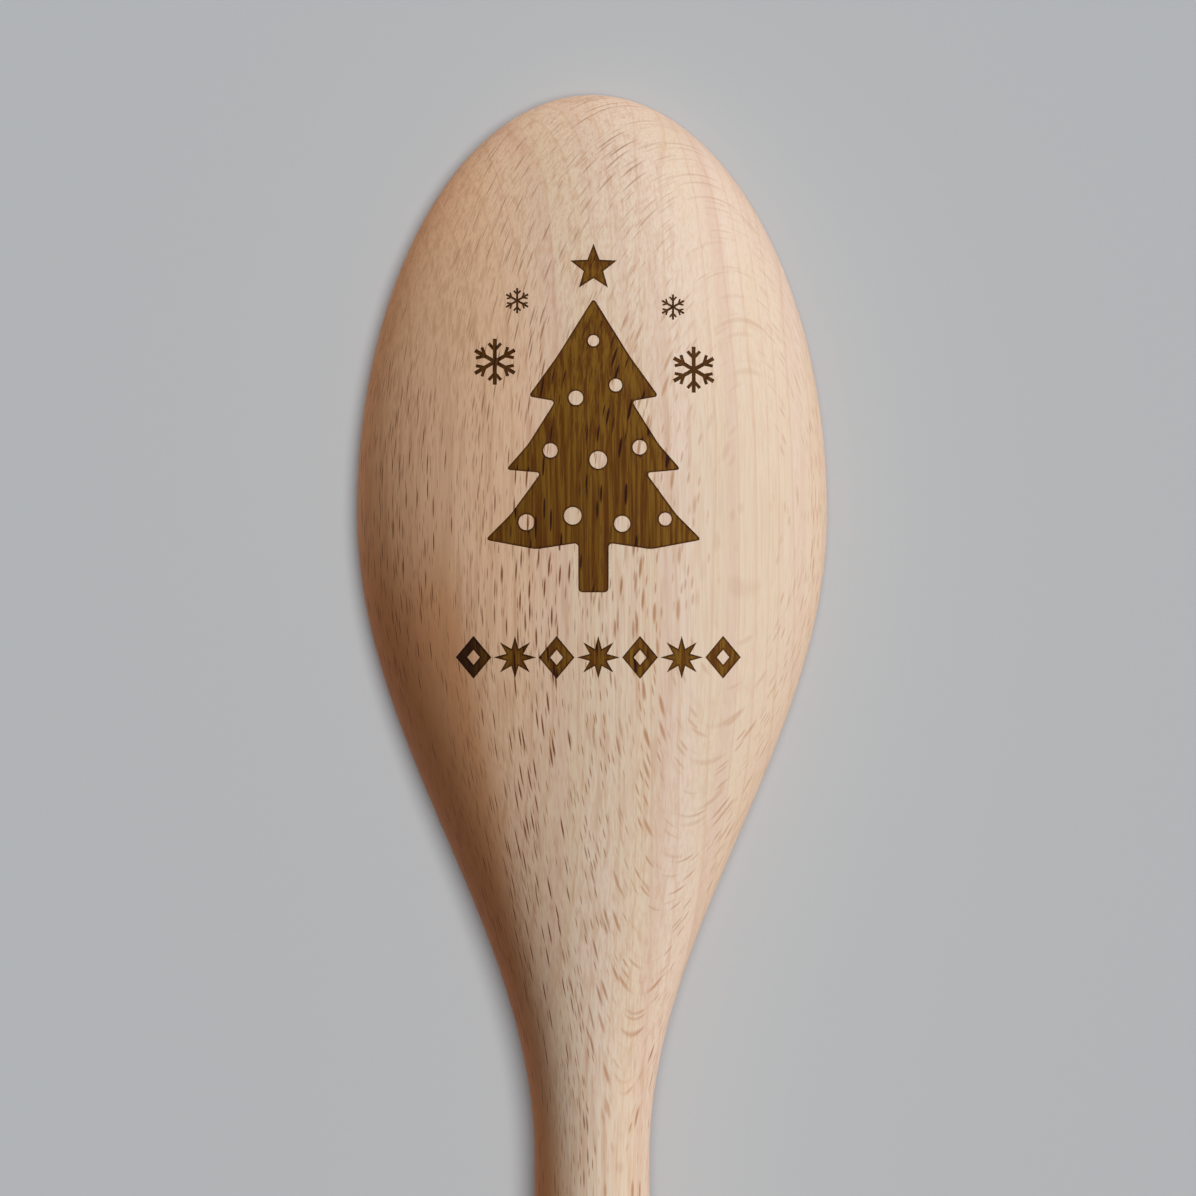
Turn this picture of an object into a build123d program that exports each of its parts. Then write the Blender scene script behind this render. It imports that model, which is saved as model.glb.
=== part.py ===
from build123d import *
from math import cos, pi, radians, sqrt
import os

# Turned beech cooking spoon, lying face down with the round back of its bowl upward.
#
# The spoon is one piece of wood, so the model is one solid. It follows the order in which such a
# spoon is made: a blank turned to an egg-shaped head on a round handle, a flat face milled under
# the head, a hollow cut into that face, and the sharp edges broken.
#
# Frame: millimetres, +Z up, +Y from the handle's end to the bowl's tip, +X across. The origin is
# on the table under the middle of the spoon. A "station" is a distance back from the bowl's tip.

# Sizes seen from above
spoon_length = 300.0
bowl_width = 60.0
nose_length = 53.2  # from the tip to the widest place
taper_length = 82.3  # from the widest place to the round handle
handle_diameter = 14.6

# Sizes seen from the side
crown_height = 16.5  # round back above the widest line
depth_hold = 9.0  # the head keeps its depth this far behind the widest place
lip_height = 5.0  # widest line above the milled face
neck_lift = 2.0  # underside of the handle at the neck, above the table

# Milled face, hollow and finished edges
face_inset = 2.6  # the face's outline stands this far inside the widest line
side_rim = 5.5  # from the widest line in to the hollow, along the sides and the taper
tip_rim = 5.8  # from the tip back to the hollow
neck_solid = 37.3  # from the hollow's end back to the round handle
back_thickness = 7.5  # wood between the hollow's deepest place and the back
hollow_centre_drop = 7.0  # centre of the hollow's curve below the face, so its walls lean
edge_chamfer = 0.7  # outer edge of the milled face, broken with sandpaper
lip_chamfer = 1.0  # inner edge of the milled face, where the hollow starts
end_radius = 5.6  # sanded end of the handle
overrun = 10.0  # how far the milling cutter passes the wood
end_overrun = 1.0  # how far the hollow's cutter goes on past the hollow's ends

# Shape exponents and shares
ellipse_power = 2.0  # the nose's outline and its back are ellipses
underside_power = 24.0  # the underside reaches its full depth sooner behind the tip
nose_angles = (8.0, 16.0, 24.0, 33.0, 43.0, 54.0, 66.0, 78.0, 90.0)  # degrees round the nose ellipse
taper_station_shares = (0.12, 0.24, 0.36, 0.48, 0.6, 0.72, 0.84, 0.93, 1.0)
tail_power = 4.0  # bluntness of the hollow's tail
outline_steps = 16  # steps between the points of the hollow's outline

# Sizes that follow from those above
handle_radius = handle_diameter / 2
neck_station = nose_length + taper_length
tip_y = spoon_length / 2
widest_y = tip_y - nose_length
neck_y = tip_y - neck_station
end_y = -spoon_length / 2
rest_y = end_y + end_radius  # where the handle touches the table, just before its rounded end
hollow_depth = lip_height + crown_height - back_thickness
hollow_half_width = bowl_width / 2 - side_rim
hollow_front = nose_length - tip_rim
hollow_tail = taper_length - neck_solid
neck_axis_z = handle_radius + neck_lift
axis_slope = neck_lift / (neck_y - rest_y)


def axis_height(station):
    """Height of the handle's straight centre line, carried on under the bowl."""
    return neck_axis_z + axis_slope * (neck_station - station)


def fade(station, start, end):
    """1 up to start, 0 from end on, and a half cosine wave between them."""
    share = min(max((station - start) / (end - start), 0.0), 1.0)
    return (1 + cos(pi * share)) / 2


def nose_share(station, power):
    """Rounded rise from 0 at the tip to 1 at the widest place, steeper for a higher power."""
    ahead = max(1 - station / nose_length, 0.0)
    return sqrt(1 - ahead**power)


def section_sizes(station):
    """Half width, height above and depth below the widest line, and that line's height."""
    width_fade = fade(station, nose_length, neck_station)
    depth_fade = fade(station, nose_length + depth_hold, neck_station)
    nose = nose_share(station, ellipse_power)
    half_width = handle_radius + (bowl_width / 2 * nose - handle_radius) * width_fade
    line_height = axis_height(station) + (lip_height - axis_height(station)) * width_fade
    inside = max(1 - face_inset / half_width, 0.0)
    face_depth = line_height / sqrt(1 - inside**2) * nose_share(station, underside_power)
    above = handle_radius + (crown_height * nose - handle_radius) * depth_fade
    below = handle_radius + (face_depth - handle_radius) * depth_fade
    return half_width, above, below, line_height


def section(station):
    """Cross-section of the blank: half an ellipse above the widest line and half of one below."""
    half_width, above, below, line_height = section_sizes(station)
    lean = axis_slope * (1 - fade(station, nose_length, neck_station))
    plane = Plane(origin=(0, tip_y - station, line_height), x_dir=(1, 0, 0), z_dir=(0, -1, -lean))
    upper_half = EllipticalCenterArc((0, 0), half_width, above, start_angle=0, arc_size=180)
    lower_half = EllipticalCenterArc((0, 0), half_width, below, start_angle=180, arc_size=180)
    return plane * make_face([upper_half, lower_half])


def turned_head():
    """Egg-shaped head, drawn down to the round neck."""
    nose_stations = [nose_length * (1 - cos(radians(angle))) for angle in nose_angles]
    taper_stations = [nose_length + taper_length * share for share in taper_station_shares]
    tip = Vertex(0, tip_y, lip_height)
    return loft([tip] + [section(station) for station in nose_stations + taper_stations])


def turned_handle():
    """Straight round handle with a domed end, sloping down from the neck to the table."""
    length = (neck_y - end_y) * sqrt(1 + axis_slope**2)
    corners = [(0, 0), (handle_radius, 0), (handle_radius, -length), (0, -length)]
    half = make_face(Polyline(*corners, close=True))
    end_corner = half.vertices().group_by(Axis.Y)[0].sort_by(Axis.X)[-1]
    neck_plane = Plane(origin=(0, neck_y, neck_axis_z), x_dir=(1, 0, 0), z_dir=(0, -axis_slope, 1))
    return neck_plane * revolve(fillet(end_corner, end_radius), Axis.Y)


def face_cutter():
    """Everything below the milled face, from the tip back to the neck."""
    width = bowl_width + 2 * overrun
    length = neck_station + overrun
    height = lip_height + overrun
    return Pos(0, tip_y + overrun - length / 2, -height / 2) * Box(width, length, height)


def hollow_half_width_squared(ahead):
    """Square of the hollow's half width at the face, ahead of or behind the widest place.

    It goes on below zero past the hollow's ends.
    """
    if ahead > 0:
        return hollow_half_width**2 * (1 - (ahead / hollow_front) ** 2)
    beside_rim = section_sizes(nose_length - ahead)[0] - side_rim
    return beside_rim**2 * (1 - (-ahead / hollow_tail) ** tail_power)


def hollow_cutter():
    """Turned egg, flattened to the hollow's depth, with its centre line below the milled face."""
    curve_depth = hollow_depth + hollow_centre_drop
    flattening = sqrt(curve_depth**2 - hollow_centre_drop**2) / hollow_half_width
    radius_at_face = hollow_centre_drop / flattening
    first, last = -hollow_tail - end_overrun, hollow_front + end_overrun
    points = []
    for step in range(outline_steps + 1):
        ahead = first + (last - first) * step / outline_steps
        radius = sqrt(hollow_half_width_squared(ahead) + radius_at_face**2)
        points.append((radius, ahead))
    profile = make_face([Spline(*points), Polyline(points[0], (0, first), (0, last), points[-1])])
    egg = scale(revolve(profile, Axis.Y), by=(1, 1, flattening))
    return Pos(0, widest_y, -hollow_centre_drop) * egg


def sharp_edges(wood, cutter):
    """The edges that the cutter leaves on the wood."""
    return new_edges(wood, cutter, combined=wood - cutter)


blank = turned_head() + turned_handle()
milled = chamfer(sharp_edges(blank, face_cutter()), edge_chamfer)
spoon = chamfer(sharp_edges(milled, hollow_cutter()), lip_chamfer)
os.makedirs("parts", exist_ok=True)
export_step(spoon, "parts/spoon.step")
print("spoon:", len(spoon.faces()), "faces, volume", round(spoon.volume), "valid", spoon.is_valid)
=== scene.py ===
import math

import bmesh
import bpy
from mathutils import Matrix, Vector


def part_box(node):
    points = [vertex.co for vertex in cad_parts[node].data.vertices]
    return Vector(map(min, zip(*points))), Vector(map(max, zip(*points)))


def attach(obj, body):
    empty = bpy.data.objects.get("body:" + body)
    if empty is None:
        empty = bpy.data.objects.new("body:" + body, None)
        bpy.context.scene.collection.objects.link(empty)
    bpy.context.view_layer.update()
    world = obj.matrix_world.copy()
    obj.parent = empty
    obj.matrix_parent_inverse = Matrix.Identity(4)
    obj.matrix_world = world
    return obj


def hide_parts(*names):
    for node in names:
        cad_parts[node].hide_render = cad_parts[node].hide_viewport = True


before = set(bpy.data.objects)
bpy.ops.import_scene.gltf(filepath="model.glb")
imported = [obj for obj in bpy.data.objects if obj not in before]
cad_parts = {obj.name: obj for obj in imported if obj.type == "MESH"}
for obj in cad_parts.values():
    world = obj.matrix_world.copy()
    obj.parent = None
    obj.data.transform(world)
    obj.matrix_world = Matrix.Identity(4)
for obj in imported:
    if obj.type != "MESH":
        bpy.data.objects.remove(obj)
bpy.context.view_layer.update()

# Turned beech spoon lying face down, with a winter pattern burnt into the back of its bowl.
# Lengths in the dictionaries are millimetres, and mm turns them into Blender's metres.
mm = 0.001
print("scene: frame loaded")


def srgb(red, green, blue):
    # 0 to 255 as a picture editor shows it, to the linear colour that a socket wants
    levels = [channel / 255 for channel in (red, green, blue)]
    linear = [level / 12.92 if level < 0.04 else ((level + 0.055) / 1.055) ** 2.4
              for level in levels]
    return (*linear, 1)


def addNode(tree, kind, inputs=(), **settings):
    made = tree.nodes.new("ShaderNode" + kind)
    for name, value in settings.items():
        setattr(made, name, value)
    for socket, value in dict(inputs).items():
        if isinstance(value, bpy.types.NodeSocket):
            tree.links.new(value, made.inputs[socket])
        else:
            made.inputs[socket].default_value = value
    return made


def maths(tree, operation, *values):
    return addNode(tree, "Math", enumerate(values), operation=operation).outputs[0]


def product(tree, first, *others):
    for other in others:
        first = maths(tree, "MULTIPLY", first, other)
    return first


def vectorMaths(tree, operation, *values, output="Vector"):
    return addNode(tree, "VectorMath", enumerate(values), operation=operation).outputs[output]


def mapRange(tree, value, fromMin, fromMax, toMin=0, toMax=1):
    inputs = {0: value, 1: fromMin, 2: fromMax, 3: toMin, 4: toMax}
    return addNode(tree, "MapRange", inputs, interpolation_type="SMOOTHSTEP").outputs[0]


def mixColour(tree, factor, first, second):
    return addNode(tree, "Mix", {0: factor, 6: first, 7: second}, data_type="RGBA").outputs[2]


def stretched(tree, vector, scale, shift=(0, 0, 0)):
    return addNode(tree, "Mapping", {0: vector, 1: shift, 3: scale}).outputs[0]


def noise(tree, vector, scale, shift, detail, roughness):
    inputs = {"Vector": stretched(tree, vector, scale, shift), "Scale": 1,
              "Detail": detail, "Roughness": roughness}
    return addNode(tree, "TexNoise", inputs).outputs


def startMaterial(name):
    material = bpy.data.materials.new(name)
    material.use_nodes = True
    return material, material.node_tree, material.node_tree.nodes["Principled BSDF"]


ringSpacing = 2.6  # one year's growth
grain = {
    "ringTurn": 27,  # degrees that the growth rings lean about the spoon's length
    "wander": 1.8,  # how far the grain strays
    "drift": 4,  # how many years its rings stray
    # one ray fleck per cell: its sizes along the ray, along the grain and across both
    "rayCell": (13, 4.2, 0.44),
    "raySize": (6.5, 1.9, 0.095),
    "rayShift": (0, 0, 0),
    "smallRayCell": (6, 2.4, 0.22),
    "smallRaySize": (3, 1.05, 0.05),
    "smallRayShift": (3.3, 7.1, 1.7),
    # noises: scale along X, Y and Z of the wood, shift, detail and roughness
    "strayNoise": ((0.035, 0.012, 0.035), (0, 0, 0), 1, 0.5),
    "fibreNoise": ((4.5, 0.09, 4.5), (0, 0, 0), 3, 0.6),
    "streakNoise": ((1.5, 0.07, 1.5), (2.5, 8.2, 6.1), 2, 0.55),
    "broadNoise": ((0.16, 0.008, 0.05), (1.3, 0.4, 2.2), 2, 0.5),
    "ringNoise": ((1 / ringSpacing, 0.004, 0.03), (4.1, 2.2, 0.3), 1.5, 0.5),
    "driftNoise": ((0.12, 0.006, 0.05), (7.7, 3.1, 5.2), 1, 0.5),
    # ranges: from here, to here, and the values at both where these aren't 0 and 1
    "fleckEdge": (1, 0.35),  # shares of a fleck's size, from its outline to where it is full
    "fleckChance": (0.1, 0.75),  # a fleck is fainter the lower its cell's random number is
    "leftShade": (-6, -25),  # leftwards, painted shade turns the wood warmer
    "clear": (-8, 12),  # rightwards, its marks fade
    "clearRays": (0, 1, 1, 0.6),
    "noseRays": (96, 132, 1, 0.5),  # towards the bowl's tip, the rays fade
    "flatRays": (0.965, 1, 1, 0.4),  # and where they lie flat in the surface
    "flatTint": (0.85, 0.98),  # where they also turn pale
    "yearRise": (0.8, 0.97),
    "yearFall": (1, 0.97),
    "neckShadeAcross": (0.5, -4.2),  # painted shade, darker along the left of the neck
    "neckShadeAbove": (102, 80),
    "neckShadeBelow": (-70, -20),
    "broadRange": (0.38, 0.62),
    "ringRange": (0.48, 0.72, 0, 0.8),
    "leftShadeStrength": (0, 1, 0, 0.85),
    "streakRange": (0.5, 0.7),
    "streakStrength": (0, 1, 0.32, 0.06),  # the second value is for clear wood
    "fibreRange": (0.42, 0.68),
    "fibreStrength": (0, 1, 0.46, 0.24),
    "neckShadeLean": 0.17,
    "neckShadeStrength": 0.8,
    "yearStrength": 0.26,
    "smallRayStrength": 0.9,
    "fibreHeight": 0.25,  # as a share of a ray's depth
    "surface": (0.62, 0.35, 0.35, 0.05),  # roughness, specular level, bump strength and height
    "colours": {
        "pale": (227, 210, 195),
        "cream": (225, 207, 186),
        "pink": (220, 196, 181),
        # the next two are painted shade: warmer on the left, darker along the left of the neck
        "leftShadeTint": (242, 203, 171),
        "neckShade": (206, 146, 98),
        "yearLine": (200, 158, 122),
        "streak": (186, 136, 100),
        "fibre": (208, 166, 132),
        "ray": (126, 72, 40),
        "rayClear": (182, 132, 96),
        "rayFlat": (190, 146, 114),
        "smallRay": (158, 108, 76),
    },
}


def spoonPlace(tree):
    # X and Y on the spoon in millimetres
    place = addNode(tree, "TexCoord").outputs["Object"]
    return addNode(tree, "SeparateXYZ", {0: stretched(tree, place, (1 / mm,) * 3)}).outputs[:2]


def woodSpace(tree):
    # turned and in millimetres: X along the rays, Y along the grain, Z through the ray sheets
    place = addNode(tree, "TexCoord").outputs["Object"]
    turn = (0, math.radians(-grain["ringTurn"]), 0)
    turned = addNode(tree, "Mapping", {0: place, 2: turn, 3: (1 / mm,) * 3}).outputs[0]
    stray = noise(tree, turned, *grain["strayNoise"])["Color"]
    centred = vectorMaths(tree, "SUBTRACT", stray, (0.5, 0.5, 0.5))
    push = {0: centred, "Scale": grain["wander"]}
    push = addNode(tree, "VectorMath", push, operation="SCALE").outputs[0]
    return vectorMaths(tree, "ADD", turned, push), turned


def flecks(tree, wood, kind):
    # flat lens-shaped flecks, one in each stretched cell, each of its own strength
    cell, size, shift = [grain[kind + part] for part in ("Cell", "Size", "Shift")]
    cells = stretched(tree, wood, [1 / side for side in cell], shift)
    voronoi = addNode(tree, "TexVoronoi", {"Vector": cells, "Scale": 1, "Randomness": 1}).outputs
    away = vectorMaths(tree, "SUBTRACT", cells, voronoi["Position"])
    lens = [side / half for side, half in zip(cell, size)]
    reach = vectorMaths(tree, "LENGTH", vectorMaths(tree, "MULTIPLY", away, lens), output="Value")
    chance = addNode(tree, "SeparateColor", {0: voronoi["Color"]}).outputs[0]
    return product(tree, mapRange(tree, reach, *grain["fleckEdge"]),
                   mapRange(tree, chance, *grain["fleckChance"]))


def beechPatterns(tree):
    wood, turned = woodSpace(tree)
    made = {"wood": wood}
    for name in ("fibre", "streak", "broad", "ring", "drift"):
        made[name] = noise(tree, wood, *grain[name + "Noise"])[0]
    across, along = addNode(tree, "SeparateXYZ", {0: turned}).outputs[:2]
    # painted shade: the wood turns warmer towards the left
    for name in ("leftShade", "clear"):
        made[name] = mapRange(tree, across, *grain[name])

    # a ray shows dark where it is cut across, and pale where its flat side lies in the surface
    lean = math.radians(grain["ringTurn"])
    sheet = (math.sin(lean), 0, math.cos(lean))
    normal = addNode(tree, "TexCoord").outputs["Normal"]
    facing = vectorMaths(tree, "DOT_PRODUCT", normal, sheet, output="Value")
    made["flat"] = maths(tree, "ABSOLUTE", facing)
    shown = product(tree, mapRange(tree, made["clear"], *grain["clearRays"]),
                    mapRange(tree, along, *grain["noseRays"]),
                    mapRange(tree, made["flat"], *grain["flatRays"]))
    for name in ("ray", "smallRay"):
        made[name] = product(tree, flecks(tree, wood, name), shown)

    # one thin line a year, unevenly spaced
    years = product(tree, addNode(tree, "SeparateXYZ", {0: wood}).outputs[0], 1 / ringSpacing)
    years = maths(tree, "MULTIPLY_ADD", made["drift"], grain["drift"], years)
    year = maths(tree, "FRACT", years)
    made["yearLine"] = product(tree, mapRange(tree, year, *grain["yearRise"]),
                               mapRange(tree, year, *grain["yearFall"]))

    # painted shade: a darker patch along the left of the neck
    x, y = spoonPlace(tree)
    leaning = maths(tree, "MULTIPLY_ADD", y, grain["neckShadeLean"], x)
    made["neckShade"] = product(tree, mapRange(tree, y, *grain["neckShadeAbove"]),
                            mapRange(tree, y, *grain["neckShadeBelow"]),
                            mapRange(tree, leaning, *grain["neckShadeAcross"]))
    return made


def finishSurface(tree, shader, colour, height, surface):
    roughness, specular, bumpStrength, bumpHeight = surface
    tree.links.new(colour, shader.inputs["Base Color"])
    shader.inputs["Roughness"].default_value = roughness
    shader.inputs["Specular IOR Level"].default_value = specular
    bump = {"Height": height, "Strength": bumpStrength, "Distance": bumpHeight * mm}
    tree.links.new(addNode(tree, "Bump", bump).outputs[0], shader.inputs["Normal"])


def makeBeech():
    material, tree, shader = startMaterial("beechBare")
    made = beechPatterns(tree)
    colours = {name: srgb(*levels) for name, levels in grain["colours"].items()}
    flat = mapRange(tree, made["flat"], *grain["flatTint"])
    rayColour = mixColour(tree, made["clear"], colours["ray"], colours["rayClear"])
    rayColour = mixColour(tree, flat, rayColour, colours["rayFlat"])
    smallRayColour = mixColour(tree, flat, colours["smallRay"], colours["rayFlat"])
    streaks = product(tree, mapRange(tree, made["streak"], *grain["streakRange"]),
                      mapRange(tree, made["clear"], *grain["streakStrength"]))
    fibres = product(tree, mapRange(tree, made["fibre"], *grain["fibreRange"]),
                     mapRange(tree, made["clear"], *grain["fibreStrength"]))
    # from the wood's own colour up, each over the ones before it
    layers = [
        (mapRange(tree, made["broad"], *grain["broadRange"]), colours["cream"]),
        (mapRange(tree, made["ring"], *grain["ringRange"]), colours["pink"]),
        # painted shade, warmer towards the left
        (mapRange(tree, made["leftShade"], *grain["leftShadeStrength"]), colours["leftShadeTint"]),
        # painted shade along the left of the neck
        (product(tree, made["neckShade"], grain["neckShadeStrength"]), colours["neckShade"]),
        (product(tree, made["yearLine"], grain["yearStrength"]), colours["yearLine"]),
        (streaks, colours["streak"]),
        (fibres, colours["fibre"]),
        (product(tree, made["smallRay"], grain["smallRayStrength"]), smallRayColour),
        (made["ray"], rayColour),
    ]
    colour = colours["pale"]
    for share, over in layers:
        colour = mixColour(tree, share, colour, over)
    fibreHeight = product(tree, made["fibre"], grain["fibreHeight"])
    height = maths(tree, "SUBTRACT", fibreHeight, made["ray"])
    finishSurface(tree, shader, colour, height, grain["surface"])
    return material


burn = {
    "edgeWidth": 0.2,  # round the outline of each shape, burnt and less deep, with painted shade making it darker
    "edgeDepth": 0.1,
    "floorDepth": 0.125,
    # painted shade: the outline's shades are darker than the floor's
    "edge": ((76, 46, 10), (92, 58, 16)),  # sweeps between two shades
    "floor": ((94, 54, 9), (124, 88, 24)),
    "dark": (66, 32, 6),  # in the fibres and small rays
    "char": (36, 13, 7),
    "ray": (44, 16, 5),
    "sweepNoise": ((2.2, 0.03, 2.2), (5, 1, 3), 3, 0.65),
    "sweepRange": (0.4, 0.6),
    "fibreRange": (0.45, 0.75, 0, 0.6),
    "rayRange": (0.05, 0.55),
    "smallRayStrength": 0.5,
    "charredAcross": (-11, -16),  # the band is charred towards its left end
    "charredBelow": (86, 82),
    "charredStrength": 0.9,
    "sweepHeight": 0.5,  # as a share of a fibre's height
    "surface": (0.8, 0.15, 0.4, 0.06),
}


def makeBurnt(name, shades):
    material, tree, shader = startMaterial(name)
    made = beechPatterns(tree)
    x, y = spoonPlace(tree)
    sweep = noise(tree, made["wood"], *burn["sweepNoise"])[0]
    charred = product(tree, mapRange(tree, x, *burn["charredAcross"]),
                      mapRange(tree, y, *burn["charredBelow"]), burn["charredStrength"])
    shade, secondShade = [srgb(*levels) for levels in shades]
    layers = [
        (mapRange(tree, sweep, *burn["sweepRange"]), secondShade),
        (mapRange(tree, made["fibre"], *burn["fibreRange"]), srgb(*burn["dark"])),
        (product(tree, made["smallRay"], burn["smallRayStrength"]), srgb(*burn["dark"])),
        (mapRange(tree, made["ray"], *burn["rayRange"]), srgb(*burn["ray"])),
        (charred, srgb(*burn["char"])),
    ]
    colour = shade
    for share, over in layers:
        colour = mixColour(tree, share, colour, over)
    height = maths(tree, "ADD", product(tree, sweep, burn["sweepHeight"]), made["fibre"])
    finishSurface(tree, shader, colour, height, burn["surface"])
    return material


beechBare = makeBeech()
beechBurnt = makeBurnt("beechBurnt", burn["floor"])
beechBurntRimShade = makeBurnt("beechBurntRimShade", burn["edge"])
finishes = [beechBare, beechBurnt, beechBurntRimShade]
print("scene: beech finishes made")

spoonShape = {
    "trim": 0.002,  # keeps the mesh inside the box of the solid
    "noseLength": 53.2,  # tip to the widest place
    "taperLength": 82.3,  # widest place to the round handle
    "bowlWidth": 59.994,
    "handleDiameter": 14.6,
    "crownHeight": 16.47,  # round back above the widest line
    "depthHold": 9,  # the head keeps its depth this far behind the widest place
    "lipHeight": 5,  # widest line above the table
    "neckLift": 2,  # underside of the handle at the neck, above the table
    "endRadius": 5.6,  # round of the handle's end
    "faceInset": 2.6,  # milled face inside the widest line
    "sideRim": 5.5,  # widest line to the hollow, along the sides
    "tipRim": 5.8,
    "neckSolid": 37.3,  # hollow's end to the round handle
    "backThickness": 7.5,  # wood over the hollow's deepest place
    "hollowDrop": 7,  # centre of the hollow's curve below the face, so its walls lean
    "edgeRound": 0.6,  # rounding of the face's outer edge and of the lip
    "faceStart": 20,  # the face is milled from here to the tip
    "leastWidth": 0.001,  # stands in for the tip's width of 0
    # how square each outline is, where 2 is an ellipse
    "nosePower": 2,
    "undersidePower": 24,
    "tailPower": 4,
    # how finely the mesh is divided
    "segments": 160,
    "hollowSegments": 128,
    "noseSteps": 70,
    "taperStep": 1.5,
    "handleStep": 5,
    "endSteps": 12,
    "hollowShares": [0.25, 0.42, 0.56, 0.68, 0.78, 0.85, 0.9, 0.935, 0.96, 0.975, 0.99, 1.005,
                     1.02, 1.035, 1.05],
    "openShare": 1.1,  # the flat face is opened this far past the hollow's lip
    "faceTolerance": 0.0001,  # a point lower than this lies in the face
    "mergeWithin": 0.01,
    "smoothAngle": 35,
}

low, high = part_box("spoon")
endY, tipY = low[1] / mm + spoonShape["trim"], high[1] / mm - spoonShape["trim"]
handleRadius = spoonShape["handleDiameter"] / 2
noseLength = spoonShape["noseLength"]
neckStation = noseLength + spoonShape["taperLength"]
neckY, widestY = tipY - neckStation, tipY - noseLength
handleSlope = spoonShape["neckLift"] / (neckY - endY - spoonShape["endRadius"])
hollowHalf = spoonShape["bowlWidth"] / 2 - spoonShape["sideRim"]
hollowFront = noseLength - spoonShape["tipRim"]
hollowTail = spoonShape["taperLength"] - spoonShape["neckSolid"]
hollowTop = spoonShape["lipHeight"] + spoonShape["crownHeight"] - spoonShape["backThickness"]
hollowDeep = hollowTop + spoonShape["hollowDrop"]
hollowFlatness = math.sqrt(hollowDeep**2 - spoonShape["hollowDrop"] ** 2) / hollowHalf


def fade(station, start, end):
    # 1 up to start, 0 from end on, and a half wave between them
    share = min(max((station - start) / (end - start), 0), 1)
    return (1 + math.cos(math.pi * share)) / 2


def noseShare(station, power):
    # 0 at the tip, 1 from the widest place on
    return math.sqrt(1 - max(1 - station / noseLength, 0) ** power)


def sectionAt(y):
    # half width, rise and fall from the widest line, and that line's height, all for one place
    axisHeight = handleRadius + spoonShape["neckLift"] + handleSlope * (y - neckY)
    endRadius = spoonShape["endRadius"]
    beforeEnd = endRadius - (y - endY)
    if beforeEnd > 0:
        radius = handleRadius - endRadius + math.sqrt(max(endRadius**2 - beforeEnd**2, 0))
        return radius, radius, radius, axisHeight
    station = max(tipY - y, 0)
    widthFade = fade(station, noseLength, neckStation)
    depthFade = fade(station, noseLength + spoonShape["depthHold"], neckStation)
    nose = noseShare(station, spoonShape["nosePower"])
    halfWidth = handleRadius + (spoonShape["bowlWidth"] / 2 * nose - handleRadius) * widthFade
    lineHeight = axisHeight + (spoonShape["lipHeight"] - axisHeight) * widthFade
    inside = max(1 - spoonShape["faceInset"] / max(halfWidth, spoonShape["leastWidth"]), 0)
    faceDepth = lineHeight / math.sqrt(1 - inside**2)
    faceDepth *= noseShare(station, spoonShape["undersidePower"])
    rise = handleRadius + (spoonShape["crownHeight"] * nose - handleRadius) * depthFade
    fall = handleRadius + (faceDepth - handleRadius) * depthFade
    return halfWidth, rise, fall, lineHeight


def aboveTable(height):
    # 0 for anything below the table, with a small round where the surface leaves it
    soft = spoonShape["edgeRound"]
    return max(height, 0) if abs(height) > soft else (height + soft) ** 2 / (4 * soft)


def hollowHeight(x, ahead):
    # height of the hollow's skin, below zero outside its lip
    if ahead > 0:
        edge = hollowHalf**2 * (1 - (ahead / hollowFront) ** 2)
    else:
        beside = sectionAt(widestY + ahead)[0] - spoonShape["sideRim"]
        edge = beside**2 * (1 - (ahead / hollowTail) ** spoonShape["tailPower"])
    reach = edge + (spoonShape["hollowDrop"] / hollowFlatness) ** 2 - x**2
    return hollowFlatness * math.sqrt(max(reach, 0)) - spoonShape["hollowDrop"]


def lipAt(angle):
    # the lip's outline, as a place across and ahead of the widest line
    across, ahead = math.cos(angle), math.sin(angle)
    if ahead > 0:
        return hollowHalf * across, hollowFront * ahead
    beside = sectionAt(widestY + hollowTail * ahead)[0] - spoonShape["sideRim"]
    return beside * across * math.sqrt(1 + ahead**2), hollowTail * ahead


def ringPlaces():
    # where the rings of the blank stand, from the handle's end to the bowl's tip
    quarter = math.pi / 2
    endSteps, noseSteps = spoonShape["endSteps"], spoonShape["noseSteps"]
    places = [endY + spoonShape["endRadius"] * (1 - math.cos(quarter * step / endSteps))
              for step in range(endSteps)]
    runs = [(places[-1], neckY, spoonShape["handleStep"]),
            (neckY, widestY, spoonShape["taperStep"])]
    for start, stop, length in runs:
        count = math.ceil((stop - start) / length)
        places += [start + (stop - start) * step / count for step in range(1, count + 1)]
    return places + [widestY + noseLength * math.sin(quarter * step / noseSteps)
                     for step in range(1, noseSteps + 1)]


def extrudeRing(mesh, edges):
    made = bmesh.ops.extrude_edge_only(mesh, edges=edges)["geom"]
    return [[part for part in made if isinstance(part, kind)]
            for kind in (bmesh.types.BMVert, bmesh.types.BMEdge)]


def makeBlank(mesh):
    # a round bar of radius 1 in rings, each then brought to its own section
    places = ringPlaces()
    upright = Matrix.Translation((0, places[0], 0)) @ Matrix.Rotation(math.pi / 2, 4, "X")
    bmesh.ops.create_circle(mesh, cap_ends=True, segments=spoonShape["segments"], radius=1,
                            matrix=upright)
    edges = mesh.edges[:]
    for before, place in zip(places, places[1:]):
        ring, edges = extrudeRing(mesh, edges)
        bmesh.ops.translate(mesh, verts=ring, vec=(0, place - before, 0))
    for vertex in mesh.verts:
        x, y, z = vertex.co
        halfWidth, rise, fall, lineHeight = sectionAt(y)
        height = lineHeight + (rise if z > 0 else fall) * z
        if y > spoonShape["faceStart"] and z < 0:
            height = aboveTable(height)
        vertex.co = Vector((x * halfWidth, y, height)) * mm
    bmesh.ops.remove_doubles(mesh, verts=mesh.verts[:], dist=spoonShape["mergeWithin"] * mm)


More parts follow.
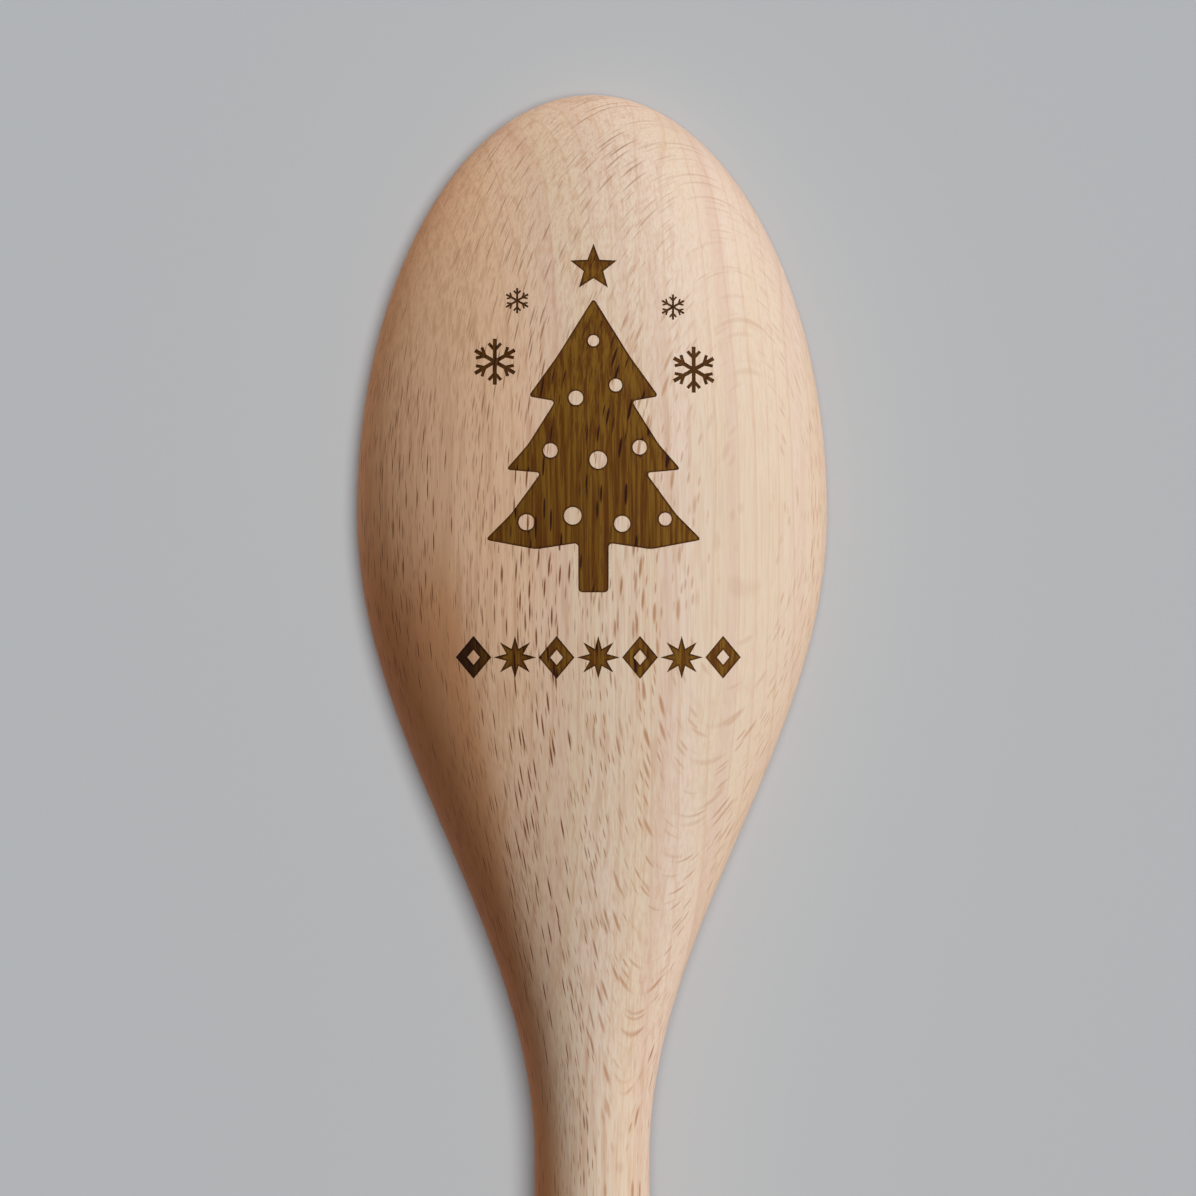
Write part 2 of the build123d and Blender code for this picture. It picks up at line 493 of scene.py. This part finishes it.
def makeHollow(mesh):
    # rings from the hollow's middle out to its lip, each then brought to the hollow's skin
    shares = spoonShape["hollowShares"]
    made = bmesh.ops.create_circle(mesh, cap_ends=True, cap_tris=True, radius=shares[0],
                                   segments=spoonShape["hollowSegments"])["verts"]
    edges = [edge for edge in {edge for vertex in made for edge in vertex.link_edges}
             if edge.is_boundary]
    for before, share in zip(shares, shares[1:]):
        ring, edges = extrudeRing(mesh, edges)
        bmesh.ops.scale(mesh, verts=ring, vec=Vector((1, 1, 1)) * share / before)
        made += ring
    for vertex in made:
        share = vertex.co.length
        x, ahead = [side * share for side in lipAt(math.atan2(vertex.co.y, vertex.co.x))]
        # the last ring lies in the face, where it joins the rest
        height = 0 if share > shares[-2] else aboveTable(hollowHeight(x, ahead))
        vertex.co = Vector((x, widestY + ahead, height)) * mm
    return edges


def openFace(mesh):
    # takes away the flat face where the hollow goes
    def within(vertex):
        x, ahead = vertex.co.x / mm, vertex.co.y / mm - widestY
        length = hollowFront if ahead > 0 else hollowTail
        lip = lipAt(math.atan2(ahead / length, x / hollowHalf))
        inside = math.hypot(x, ahead) < spoonShape["openShare"] * math.hypot(*lip)
        return inside and vertex.co.z < spoonShape["faceTolerance"] * mm

    opened = [face for face in mesh.faces if all(within(vertex) for vertex in face.verts)]
    bmesh.ops.delete(mesh, geom=opened, context="FACES")
    return [edge for edge in mesh.edges if edge.is_boundary]


# The burnt pattern, seen from above with the bowl's tip upward. Places are X and Y on the spoon.
pattern = {
    "treeFoot": (0.2, 86.5),
    "treeHalf": [(1.9, 0), (1.9, 6.2), (7.2, 5.4), (13.6, 6.6), (10.4, 9.8), (6.6, 15),
                 (11, 15.4), (8.2, 18.6), (4.8, 24), (8.2, 24.6), (4.6, 29.6), (0, 37)],
    "treeRound": 0.55,
    "treeRoundSteps": 4,
    # bare dots in the tree: place from its foot, and radius
    "baubles": [(-8.4, 8.8, 1), (-2.6, 9.6, 1.1), (3.6, 8.6, 1), (9, 9.2, 0.8), (-5.4, 17.8, 0.9),
                (0.6, 16.6, 1.1), (5.8, 18.2, 0.9), (-2.2, 24.4, 0.9), (2.8, 26, 0.8),
                (0, 31.6, 0.7)],
    "baubleSegments": 24,
    "treeTop": (0.2, 127.3, 3.1),  # star: place and radius
    "treeTopPoints": 5,
    "treeTopInner": 0.42,  # where its points meet, as a share of its radius
    "flakes": [(-12.2, 115.5, 2.9), (12.8, 114.5, 2.9), (-9.4, 123.2, 1.6), (10.2, 122.4, 1.6)],
    "flakeArms": 6,
    # the bars of an arm: from, to and width, as shares of the flake's radius
    "flakeBars": [((0, -0.05), (0, 1), 0.17), ((0, 0.5), (-0.27, 0.8), 0.14),
                  ((0, 0.5), (0.27, 0.8), 0.14)],
    # diamonds and stars by turns
    "bandStart": (-14.88, 78.35),
    "bandStep": 5.23,
    "bandCount": 7,
    "bandHalf": 2.7,
    "bandStarPoints": 8,
    "bandStarInner": 0.43,
    "diamondHalf": 2.25,
    "diamondBare": 0.35,  # bare diamond in its middle, as a share of it
    "below": 14.6,  # the cutters reach from inside the wood
    "above": 26,  # to above the back
}


def flatPolygon(mesh, points):
    return mesh.faces.new([mesh.verts.new((x * mm, y * mm, 0)) for x, y in points])


def star(mesh, centre, outer, inner, points, margin):
    # its edges are all as far from its centre, so a smaller one has an even margin to them
    side = (Vector((outer, 0)) - Matrix.Rotation(math.pi / points, 2) @ Vector((inner, 0))).length
    reach = outer * inner * math.sin(math.pi / points) / side
    ring = bmesh.ops.create_circle(
        mesh, cap_ends=True, segments=2 * points, radius=outer * mm)["verts"]
    bmesh.ops.scale(mesh, verts=ring[1::2], vec=Vector((1, 1, 1)) * (inner / outer))
    bmesh.ops.scale(mesh, verts=ring, vec=Vector((1, 1, 1)) * (1 - margin / reach))
    bmesh.ops.translate(mesh, verts=ring, vec=Vector((*centre, 0)) * mm)


def diamond(mesh, centre, share, margin):
    # a star of two points, upright
    star(mesh, centre, pattern["bandHalf"] * share, pattern["diamondHalf"] * share, 2, margin)


def bar(mesh, start, end, width):
    side = (end - start).orthogonal().normalized() * width / 2
    flatPolygon(mesh, [start + side, end + side, end - side, start - side])


def snowflake(mesh, centre, radius):
    for turn in range(pattern["flakeArms"]):
        arm = Matrix.Rotation(2 * math.pi * turn / pattern["flakeArms"], 2)
        for *ends, width in pattern["flakeBars"]:
            start, end = [Vector(centre) + arm @ Vector(place) * radius for place in ends]
            bar(mesh, start, end, radius * width)


def firTree(mesh, margin):
    others = set(mesh.faces)
    footX, footY = pattern["treeFoot"]
    half = pattern["treeHalf"]
    points = half + [(-x, y) for x, y in reversed(half[:-1])]
    face = flatPolygon(mesh, [(footX + x, footY + y) for x, y in points])
    bmesh.ops.bevel(mesh, geom=face.verts[:], affect="VERTICES", offset=pattern["treeRound"] * mm,
                    segments=pattern["treeRoundSteps"], profile=0.5, material=-1)
    if margin:
        whole = list(set(mesh.faces) - others)
        outline = bmesh.ops.inset_region(mesh, faces=whole, thickness=margin * mm,
                                         use_boundary=True, use_even_offset=True)["faces"]
        bmesh.ops.delete(mesh, geom=outline, context="FACES")


def bandPlace(place):
    x, y = pattern["bandStart"]
    return x + place * pattern["bandStep"], y


def drawPattern(mesh, margin):
    x, y, radius = pattern["treeTop"]
    star(mesh, (x, y), radius, radius * pattern["treeTopInner"], pattern["treeTopPoints"], margin)
    if not margin:
        for x, y, radius in pattern["flakes"]:
            snowflake(mesh, (x, y), radius)
    half = pattern["bandHalf"]
    for place in range(pattern["bandCount"]):
        if place % 2:
            star(mesh, bandPlace(place), half, half * pattern["bandStarInner"],
                 pattern["bandStarPoints"], margin)
        else:
            diamond(mesh, bandPlace(place), 1, margin)
    # last, because its margin deletes points, and a ring drawn after that comes out of order
    firTree(mesh, margin)


def drawBare(mesh, margin):
    # what stays bare inside the burnt shapes
    footX, footY = pattern["treeFoot"]
    for x, y, radius in pattern["baubles"]:
        ring = bmesh.ops.create_circle(mesh, cap_ends=True, segments=pattern["baubleSegments"],
                                       radius=(radius + margin) * mm)["verts"]
        bmesh.ops.translate(mesh, verts=ring, vec=Vector((footX + x, footY + y, 0)) * mm)
    for place in range(0, pattern["bandCount"], 2):
        diamond(mesh, bandPlace(place), pattern["diamondBare"], -margin)


def meshObject(name, mesh, finish):
    index = finishes.index(finish)
    for face in mesh.faces:
        face.material_index = index
    data = bpy.data.meshes.new(name)
    mesh.to_mesh(data)
    mesh.free()
    for material in finishes:
        data.materials.append(material)
    made = bpy.data.objects.new(name, data)
    bpy.context.scene.collection.objects.link(made)
    return made


def prismObject(name, draw, margin, finish, spare=0):
    # everything that draw lays flat, raised into prisms that pass through the bowl's back
    mesh = bmesh.new()
    draw(mesh, margin)
    bottom, top = pattern["below"] - spare, pattern["above"] + spare
    bmesh.ops.translate(mesh, verts=mesh.verts[:], vec=(0, 0, bottom * mm))
    raised = bmesh.ops.extrude_face_region(mesh, geom=mesh.faces[:])["geom"]
    tops = [part for part in raised if isinstance(part, bmesh.types.BMVert)]
    bmesh.ops.translate(mesh, verts=tops, vec=(0, 0, (top - bottom) * mm))
    bmesh.ops.recalc_face_normals(mesh, faces=mesh.faces[:])
    return meshObject(name, mesh, finish)


def carve(target, tool, selfCrossing=False):
    cut = target.modifiers.new("carve", "BOOLEAN")
    cut.operation, cut.solver, cut.object = "DIFFERENCE", "EXACT", tool
    cut.use_self = selfCrossing
    evaluated = target.evaluated_get(bpy.context.evaluated_depsgraph_get())
    carved = bpy.data.meshes.new_from_object(evaluated)
    target.modifiers.clear()
    target.data = carved
    bpy.data.objects.remove(tool)


def burnPattern(spoon, plain, margin, depth, finish):
    # the pattern goes as deep everywhere: its cutter ends at a lowered copy of the plain spoon
    lowered = bmesh.new()
    lowered.from_mesh(plain)
    bmesh.ops.translate(lowered, verts=lowered.verts[:], vec=(0, 0, -depth * mm))
    cutter = prismObject("patternCutter", drawPattern, margin, finish)
    carve(cutter, prismObject("bareCutter", drawBare, margin, finish, spare=1), selfCrossing=True)
    carve(cutter, meshObject("loweredSpoon", lowered, finish))
    carve(spoon, cutter)


def makeSpoon():
    mesh = bmesh.new()
    makeBlank(mesh)
    rim = openFace(mesh)
    rim += makeHollow(mesh)
    bmesh.ops.triangle_fill(mesh, edges=rim, use_beauty=True)
    bmesh.ops.recalc_face_normals(mesh, faces=mesh.faces[:])
    print("scene: spoon turned and hollowed,", len(mesh.faces), "faces")
    spoon = meshObject("woodenSpoon", mesh, beechBare)
    plain = spoon.data
    # the burnt outline, darkened by painted shade
    burnPattern(spoon, plain, 0, burn["edgeDepth"], beechBurntRimShade)
    burnPattern(spoon, plain, burn["edgeWidth"], burn["floorDepth"], beechBurnt)

    spoon.data.shade_smooth()
    spoon.data.set_sharp_from_angle(angle=math.radians(spoonShape["smoothAngle"]))
    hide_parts("spoon")
    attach(spoon, "root")
    return spoon


spoon = makeSpoon()
print("scene: spoon burnt,", len(spoon.data.polygons), "faces")

table = {
    "size": 16000,
    "divisions": 8,
    "colour": (186, 189, 191),
    "bounce": (170, 108, 66),  # what the wood gets back from it, as from warm surroundings
    "roughness": 0.9,
}


def seenByEye(tree):
    # 1 for what the camera sees itself or in something shiny, 0 for light that falls on the wood
    path = addNode(tree, "LightPath").outputs
    seen = maths(tree, "MAXIMUM", path["Is Camera Ray"], path["Is Glossy Ray"])
    return maths(tree, "MAXIMUM", seen, path["Is Transmission Ray"])


def makeTable():
    mesh = bmesh.new()
    bmesh.ops.create_grid(mesh, x_segments=table["divisions"], y_segments=table["divisions"],
                          size=table["size"] / 2 * mm)
    data = bpy.data.meshes.new("table")
    mesh.to_mesh(data)
    mesh.free()
    top = bpy.data.objects.new("table", data)
    bpy.context.scene.collection.objects.link(top)
    material, tree, shader = startMaterial("paleTable")
    colour = mixColour(tree, seenByEye(tree), srgb(*table["bounce"]), srgb(*table["colour"]))
    tree.links.new(colour, shader.inputs["Base Color"])
    shader.inputs["Roughness"].default_value = table["roughness"]
    data.materials.append(material)
    return top


view = {
    "x": 0.77,  # the camera looks straight down at this place
    "y": 85.8,
    "height": 900,
    "fieldWidth": 152.7,  # how much it sees across, at the height below
    "focusHeight": 5,
    "sensor": 36,
    "clip": (10, 20000),
}
studio = {
    # each lamp: degrees right of the spoon's length, degrees up, distance, size, watts, colour
    "upperLamp": (40, 40, 1500, 500, 17.3, (1, 1, 1)),
    "lowerLamp": (138, 22, 1500, 500, 11, (1, 0.95, 0.86)),
    "warmLamp": (-30, 30, 1500, 500, 5.3, (1, 0.78, 0.5)),
    "tableLamp": (64, 84, 6000, 2800, 325, (1, 1, 1)),
    "worldColour": (1, 0.97, 0.94),
    "worldStrength": 0.01,
}


def makeLamp(name, lit):
    # a round soft lamp aimed at the bowl, which lights only the one object
    turn, rise, distance, size, watts, colour = studio[name]
    turn, rise = math.radians(turn), math.radians(rise)
    direction = Vector((math.sin(turn) * math.cos(rise), math.cos(turn) * math.cos(rise),
                        math.sin(rise)))
    lamp = bpy.data.lights.new(name, "AREA")
    lamp.shape, lamp.size, lamp.energy, lamp.color = "DISK", size * mm, watts, colour
    made = bpy.data.objects.new(name, lamp)
    made.location = Vector((view["x"], view["y"], 0)) * mm + direction * distance * mm
    made.rotation_euler = direction.to_track_quat("Z", "Y").to_euler()
    bpy.context.scene.collection.objects.link(made)
    made.light_linking.receiver_collection = bpy.data.collections.new(name + "Lights")
    made.light_linking.receiver_collection.objects.link(lit)


def makeWorld():
    world = bpy.data.worlds.new("studio")
    world.use_nodes = True
    tree = world.node_tree
    # beyond the table, the eye sees the table's colour, and the world's own light is faint
    faint = {0: (*studio["worldColour"], 1), 1: studio["worldStrength"]}
    light = addNode(tree, "Background", faint)
    seen = addNode(tree, "Background", {0: srgb(*table["colour"]), 1: 1})
    mixed = {0: seenByEye(tree), 1: light.outputs[0], 2: seen.outputs[0]}
    surface = addNode(tree, "MixShader", mixed).outputs[0]
    tree.links.new(surface, tree.nodes["World Output"].inputs["Surface"])
    bpy.context.scene.world = world


def makeCamera():
    lens = bpy.data.cameras.new("camera")
    lens.sensor_width = view["sensor"]
    lens.lens = view["sensor"] * (view["height"] - view["focusHeight"]) / view["fieldWidth"]
    lens.clip_start, lens.clip_end = [distance * mm for distance in view["clip"]]
    camera = bpy.data.objects.new("camera", lens)
    camera.location = Vector((view["x"], view["y"], view["height"])) * mm
    bpy.context.scene.collection.objects.link(camera)
    bpy.context.scene.camera = camera


makeLamp("tableLamp", makeTable())
for name in ("upperLamp", "lowerLamp", "warmLamp"):
    makeLamp(name, spoon)
makeWorld()
makeCamera()
bpy.context.scene.view_settings.view_transform = "Standard"
print("scene: table, light and camera set")
